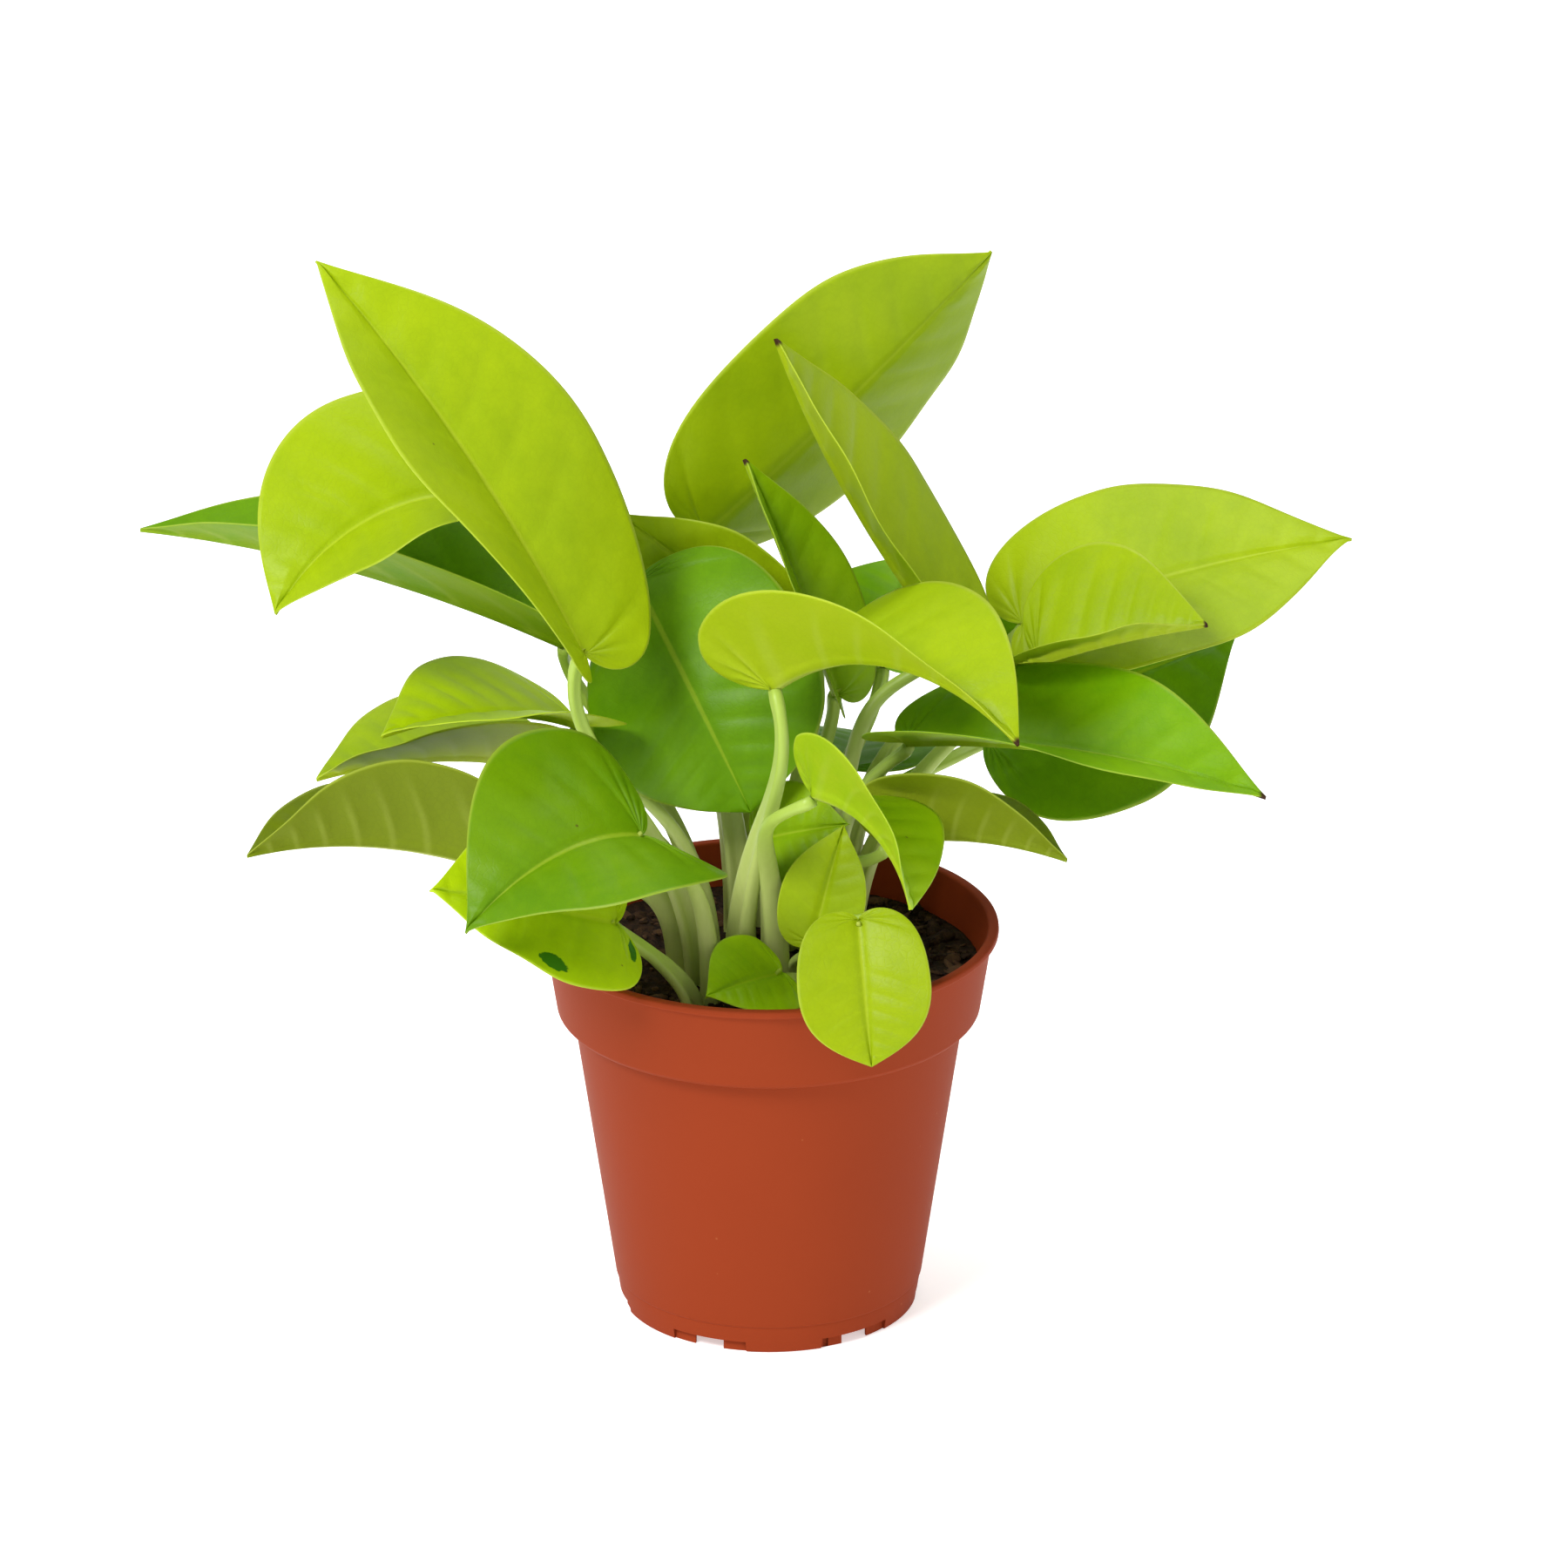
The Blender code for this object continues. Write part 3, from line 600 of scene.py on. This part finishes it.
def stem_frames(line, over):
    """Tangents along a line, with a pair of directions square to it, starting from over at its end."""
    tangents = np.gradient(line, axis=0)
    tangents = tangents / np.linalg.norm(tangents, axis=1, keepdims=True)
    fronts = np.empty_like(line)
    front = np.asarray(over, float)
    for k in range(len(line) - 1, -1, -1):
        front = unit(front - (front @ tangents[k]) * tangents[k])
        fronts[k] = front
    return tangents, fronts, np.cross(tangents, fronts)


def make_stem(name, row, material):
    """A leaf stem with a groove down its upper side, widened by a sheath where it leaves the soil."""
    line = stem_line(row, STEM_RINGS)
    axes = blade_axes(row)
    line[-1] = line[-1] + (GAP + 0.5 * BLADE_THICKNESS) * axes[2]
    _, fronts, sides = stem_frames(line, axes[2] - 0.5 * axes[0])
    done = np.linspace(0, 1, STEM_RINGS)
    radius = STEM_FULLNESS * GROWTH * (STEM_TOP_RADIUS + (row.stem - STEM_TOP_RADIUS) * (1 - done) ** 1.3)
    radius = radius + 0.25 * np.exp(-(((done - 0.97) / 0.04) ** 2))
    sheath = np.clip(1 - done / 0.55, 0, 1) ** 0.6
    angles = np.linspace(0, math.tau, STEM_SIDES, endpoint=False)
    wide = np.sin(angles)[None] * (1 + 0.45 * sheath[:, None])
    front = np.clip(np.cos(angles), 0, 1)[None] ** 6
    deep = np.cos(angles)[None] - front * (0.35 + 0.75 * sheath[:, None])
    rings = line[:, None] + radius[:, None, None] * (wide[..., None] * sides[:, None] + deep[..., None] * fronts[:, None])
    points = np.vstack([rings.reshape(-1, 3), line[:1], line[-1:]])
    faces = grid_faces(STEM_RINGS, STEM_SIDES, close=True)
    foot, top = len(points) - 2, len(points) - 1
    last = (STEM_RINGS - 1) * STEM_SIDES
    for j in range(STEM_SIDES):
        k = (j + 1) % STEM_SIDES
        faces.append((foot, k, j))
        faces.append((top, last + j, last + k))
    stem = object_from(name, points, faces, [material])
    mesh = stem.data
    place_map = np.stack(np.meshgrid(done, angles / math.tau, indexing="ij"), -1).reshape(-1, 2)
    place_map = np.vstack([place_map, [[0, 0], [1, 0]]])
    corners = np.empty(len(mesh.loops), np.int32)
    mesh.loops.foreach_get("vertex_index", corners)
    layer = mesh.uv_layers.new(name="veins")
    layer.data.foreach_set("uv", place_map[corners].astype(np.float32).ravel())
    bm = bmesh.new()
    bm.from_mesh(mesh)
    bmesh.ops.recalc_face_normals(bm, faces=bm.faces)
    bm.to_mesh(mesh)
    bm.free()
    return stem


def rounded(points, radius, turns=4):
    """The outline with each corner cut by a small curve, of this radius or a third of the shorter side."""
    made = [points[0]]
    for before, corner, after in zip(points, points[1:], points[2:]):
        before, corner, after = (np.asarray(p, float) for p in (before, corner, after))
        reach = min(radius, np.linalg.norm(before - corner) / 3, np.linalg.norm(after - corner) / 3)
        start = corner + unit(before - corner) * reach
        end = corner + unit(after - corner) * reach
        t = np.linspace(0, 1, turns)[:, None]
        made.extend(tuple(p) for p in start * (1 - t) ** 2 + 2 * corner * t * (1 - t) + end * t**2)
    return made + [points[-1]]


def lathe(name, outline, sides, materials):
    """Turns an outline of (radius, height) points that starts and ends on the axis."""
    inner = outline[1:-1]
    angles = np.linspace(0, math.tau, sides, endpoint=False)
    rings = [[(r * math.cos(a), r * math.sin(a), z) for a in angles] for r, z in inner]
    points = [p for ring in rings for p in ring] + [(0, 0, outline[0][1]), (0, 0, outline[-1][1])]
    faces = grid_faces(len(inner), sides, close=True)
    start, end = len(points) - 2, len(points) - 1
    last = (len(inner) - 1) * sides
    for j in range(sides):
        k = (j + 1) % sides
        faces.append((start, k, j))
        faces.append((end, last + j, last + k))
    return weld(object_from(name, points, faces, materials))


def collar(inset):
    """Points up the pot's collar, from its ledge to the lip, this far inside its outer face."""
    low = POT_HEIGHT - COLLAR_HEIGHT + inset
    ledge = [(WAIST_RADIUS, low), (LEDGE_RADIUS - LEDGE_ROUND, low + 0.1), (LEDGE_RADIUS, low + 1.2 * LEDGE_ROUND)]
    top = (RIM_RADIUS - LIP_WIDTH, POT_HEIGHT - LIP_HEIGHT)
    return [(radius - inset, height) for radius, height in [*ledge, top]]


def pot_outline():
    foot_top = FOOT_RADIUS + FOOT_TAPER
    inside = [(foot_top - WALL, FLOOR_RISE + FLOOR)] + collar(WALL)
    lip = [(RIM_RADIUS - LIP_WIDTH - WALL + 0.3, POT_HEIGHT), (RIM_RADIUS - 0.1, POT_HEIGHT),
           (RIM_RADIUS, POT_HEIGHT - LIP_HEIGHT), (RIM_RADIUS - LIP_WIDTH, POT_HEIGHT - LIP_HEIGHT - 0.2)]
    outside = collar(0)[:-1][::-1]
    foot = [(foot_top + 0.05, FOOT_HEIGHT + GROOVE), (foot_top - GROOVE, FOOT_HEIGHT),
            (foot_top - GROOVE, FOOT_HEIGHT - 0.4), (FOOT_RADIUS, 0), (FOOT_RADIUS - WALL, 0),
            (FOOT_RADIUS - WALL, FLOOR_RISE)]
    pad = [(PAD_RADIUS + 0.6, FLOOR_RISE), (PAD_RADIUS, 0), (0, 0)]
    corners = [(0, FLOOR_RISE + FLOOR)] + inside + lip + outside + foot + pad
    return rounded(corners, 0.7)


def around(count, first):
    return [math.radians(first - 90 + 360 * k / count) for k in range(count)]


def cut(thing, cutter):
    boolean = thing.modifiers.new(cutter.name, "BOOLEAN")
    boolean.operation = "DIFFERENCE"
    boolean.object = cutter


def settle(thing, helpers):
    """Keeps the shape that the modifiers give, and removes what they used."""
    graph = bpy.context.evaluated_depsgraph_get()
    mesh = bpy.data.meshes.new_from_object(thing.evaluated_get(graph))
    thing.modifiers.clear()
    thing.data = mesh
    for helper in helpers:
        bpy.data.objects.remove(helper, do_unlink=True)
    return thing


def boxes(name, radius, length, width, height):
    bm = bmesh.new()
    for angle in around(NOTCH_COUNT, NOTCH_TURN):
        centre = Matrix.Rotation(angle, 4, "Z") @ Matrix.Translation((radius * MM, 0, 0))
        bmesh.ops.create_cube(bm, size=1, matrix=centre @ Matrix.Diagonal((length * MM, width * MM, 2 * height * MM, 1)))
    mesh = bpy.data.meshes.new(name)
    bm.to_mesh(mesh)
    bm.free()
    made = bpy.data.objects.new(name, mesh)
    bpy.context.scene.collection.objects.link(made)
    return made


def posts(name, places, low, high, sides=48):
    bm = bmesh.new()
    for x, y, radius in places:
        bmesh.ops.create_cone(bm, cap_ends=True, segments=sides, radius1=radius * MM, radius2=radius * MM,
                              depth=(high - low) * MM, matrix=Matrix.Translation(Vector((x, y, (low + high) / 2)) * MM))
    mesh = bpy.data.meshes.new(name)
    bm.to_mesh(mesh)
    bm.free()
    made = bpy.data.objects.new(name, mesh)
    bpy.context.scene.collection.objects.link(made)
    return made


def make_pot(material):
    pot = lathe("pot_shell", pot_outline(), POT_SIDES, [material])
    recess = boxes("recess", FOOT_RADIUS, 10, RECESS_WIDTH, NOTCH_HEIGHT)
    core = posts("core", [(0, 0, FOOT_RADIUS - RECESS_DEPTH)], -10, 10, POT_SIDES)
    cut(recess, core)
    notch = boxes("notch", FOOT_RADIUS, 10, NOTCH_WIDTH, NOTCH_HEIGHT)
    drains = posts("drains", [(DRAIN_CIRCLE * math.cos(a), DRAIN_CIRCLE * math.sin(a), DRAIN_RADIUS)
                              for a in around(NOTCH_COUNT, NOTCH_TURN + 30)], 0, 10)
    for cutter in (recess, notch, drains):
        cut(pot, cutter)
    settle(pot, [recess, core, notch, drains])
    pot.data.shade_smooth()
    pot.data.set_sharp_from_angle(angle=math.radians(38))
    return pot


def soil_height(x, y):
    lumps = mathutils_noise.fractal(Vector((x, y, 3.0)) * 0.09, 1.0, 2.0, 4)
    grains = mathutils_noise.fractal(Vector((x, y, 9.0)) * 0.55, 0.8, 2.2, 4)
    return 1.3 * lumps + 0.9 * grains


def make_soil(material, random):
    """Loose soil with a lumpy top, and bits of bark lying on it."""
    edge = RIM_RADIUS - LIP_WIDTH - WALL - SOIL_DROP * (RIM_RADIUS - LIP_WIDTH - LEDGE_RADIUS) / COLLAR_HEIGHT - 0.1
    angles = np.linspace(0, math.tau, SOIL_SIDES, endpoint=False)
    points, shades = [(0, 0, SOIL_TOP - 0.4)], [0.0]
    for radius in np.linspace(edge / SOIL_RINGS, edge, SOIL_RINGS):
        for angle in angles:
            x, y = radius * math.cos(angle), radius * math.sin(angle)
            calm = min(1.0, (edge - radius) / 3 + 0.25)
            points.append((x, y, SOIL_TOP - 0.4 + calm * soil_height(x, y)))
            shades.append(0.0)
    faces = [(0, 1 + j, 1 + (j + 1) % SOIL_SIDES) for j in range(SOIL_SIDES)]
    faces += grid_faces(SOIL_RINGS, SOIL_SIDES, first=1, close=True)
    faces = faces[:SOIL_SIDES] + [face[::-1] for face in faces[SOIL_SIDES:]]
    base = len(points)
    bottom = FLOOR_RISE + FLOOR + GAP
    low_radius = FOOT_RADIUS + FOOT_TAPER - WALL - GAP
    ledge = POT_HEIGHT - COLLAR_HEIGHT + WALL
    for radius, height in ((edge - 1.5, ledge + 2), (WAIST_RADIUS - WALL - GAP, ledge), (low_radius, bottom)):
        for angle in angles:
            points.append((radius * math.cos(angle), radius * math.sin(angle), height))
            shades.append(0.0)
    rim_row = base - SOIL_SIDES
    for i in range(3):
        upper = rim_row + i * SOIL_SIDES
        for j in range(SOIL_SIDES):
            k = (j + 1) % SOIL_SIDES
            faces.append((upper + j, upper + SOIL_SIDES + j, upper + SOIL_SIDES + k, upper + k))
    points.append((0, 0, bottom))
    shades.append(0.0)
    foot = len(points) - 1
    faces += [(foot, foot - SOIL_SIDES + (j + 1) % SOIL_SIDES, foot - SOIL_SIDES + j) for j in range(SOIL_SIDES)]
    add_crumbs(points, faces, shades, edge, random)
    soil = object_from("soil_bed", points, faces, [material])
    attribute = soil.data.attributes.new("shade", "FLOAT", "POINT")
    attribute.data.foreach_set("value", np.array(shades, np.float32))
    return soil


def add_crumbs(points, faces, shades, edge, random):
    """Small rough bits on the soil, some of them long like bark."""
    bm = bmesh.new()
    bmesh.ops.create_icosphere(bm, subdivisions=2, radius=1)
    ball = np.array([vert.co for vert in bm.verts])
    corners = [[vert.index for vert in face.verts] for face in bm.faces]
    bm.free()
    for _ in range(CRUMBS):
        radius, angle = (edge - 2.0) * math.sqrt(random.uniform(0, 1)), random.uniform(0, math.tau)
        x, y = radius * math.cos(angle), radius * math.sin(angle)
        size = random.uniform(0.3, 0.9) if random.uniform() < 0.8 else random.uniform(0.9, 1.9)
        stretch = np.array([size * random.uniform(1, 2.4), size, size * random.uniform(0.35, 0.8)])
        turn = np.array(Matrix.Rotation(random.uniform(0, math.tau), 3, "Z") @
                        Matrix.Rotation(random.uniform(-0.6, 0.6), 3, "X") @
                        Matrix.Rotation(random.uniform(-0.5, 0.5), 3, "Y"))
        rough = 1 + random.uniform(-0.28, 0.28, (len(ball), 1))
        bit = (ball * rough * stretch) @ turn.T + (x, y, SOIL_TOP - 0.4 + soil_height(x, y) + 0.25 * stretch[2])
        first = len(points)
        points.extend(tuple(p) for p in bit)
        shades.extend([float(random.uniform(0, 1) ** 2)] * len(bit))
        faces.extend(tuple(first + k for k in corner) for corner in corners)


def light(name, size, energy, place_at, target, colour=WHITE):
    lamp = bpy.data.lights.new(name, "AREA")
    lamp.shape = "DISK"
    lamp.size = size
    lamp.energy = energy
    lamp.color = colour
    thing = bpy.data.objects.new(name, lamp)
    thing.location = place_at
    thing.rotation_mode = "QUATERNION"
    thing.rotation_quaternion = (Vector(target) - Vector(place_at)).to_track_quat("-Z", "Y")
    bpy.context.scene.collection.objects.link(thing)
    return thing


def make_studio():
    scene = bpy.context.scene
    world = bpy.data.worlds.new("studio")
    world.use_nodes = True
    world.node_tree.nodes["Background"].inputs["Color"].default_value = (1, 1, 1, 1)
    world.node_tree.nodes["Background"].inputs["Strength"].default_value = 0.5
    scene.world = world
    floor = object_from("floor", [(-4000, -4000, -0.05), (4000, -4000, -0.05), (4000, 4000, -0.05), (-4000, 4000, -0.05)],
                        [(0, 1, 2, 3)], [paper_material()])
    middle = (0, 0, 0.12)
    light("key", 0.7, 24, (-0.75, -0.9, 1.25), middle)
    light("fill", 1.2, 2.8, (1.2, -1.1, 0.6), middle)
    light("top", 1.0, 9, (0.2, 0.5, 1.5), middle)
    scene.view_settings.view_transform = "Standard"
    scene.view_settings.look = "None"


def make_camera():
    camera = bpy.data.cameras.new("camera")
    camera.sensor_width = 36
    camera.lens = CAMERA_LENS
    camera.clip_end = 20
    thing = bpy.data.objects.new("camera", camera)
    height = math.radians(CAMERA_HEIGHT)
    back = Vector((0, -math.cos(height), math.sin(height)))
    thing.location = (Vector(CAMERA_TARGET) + back * CAMERA_DISTANCE) * MM
    thing.rotation_mode = "QUATERNION"
    thing.rotation_quaternion = (-back).to_track_quat("-Z", "Y")
    bpy.context.scene.collection.objects.link(thing)
    bpy.context.scene.camera = thing


def main():
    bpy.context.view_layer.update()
    random = np.random.default_rng(SEED)
    put(make_pot(pot_material()), "pot")
    put(make_soil(soil_material(), random), "soil")
    stem_skin = stem_material()
    skins = {}
    for name, row in LEAVES.items():
        tipped = name in BROWN_TIPS
        # painted light and shade: the leaf's colour scale from the table of factors above
        shade = PAINTED_LIGHT_SCALES.get(name, 1.0)
        key = (row.tone, tipped, shade)
        if key not in skins:
            label = row.tone + ("_tipped" if tipped else "") + (f"_{shade:.2f}" if shade != 1 else "")
            skins[key] = [leaf_material("leaf_" + label, row.tone, shade, False, tipped, BLOTCHES.get(name, ())),
                          leaf_material("under_" + label, row.tone, shade, True, tipped)]
        put(make_blade(name + "_blade", row, random, skins[key]), name)
        stem = name.replace("leaf_", "stem_")
        put(make_stem(stem + "_tube", row, stem_skin), stem)
    make_studio()
    make_camera()


main()
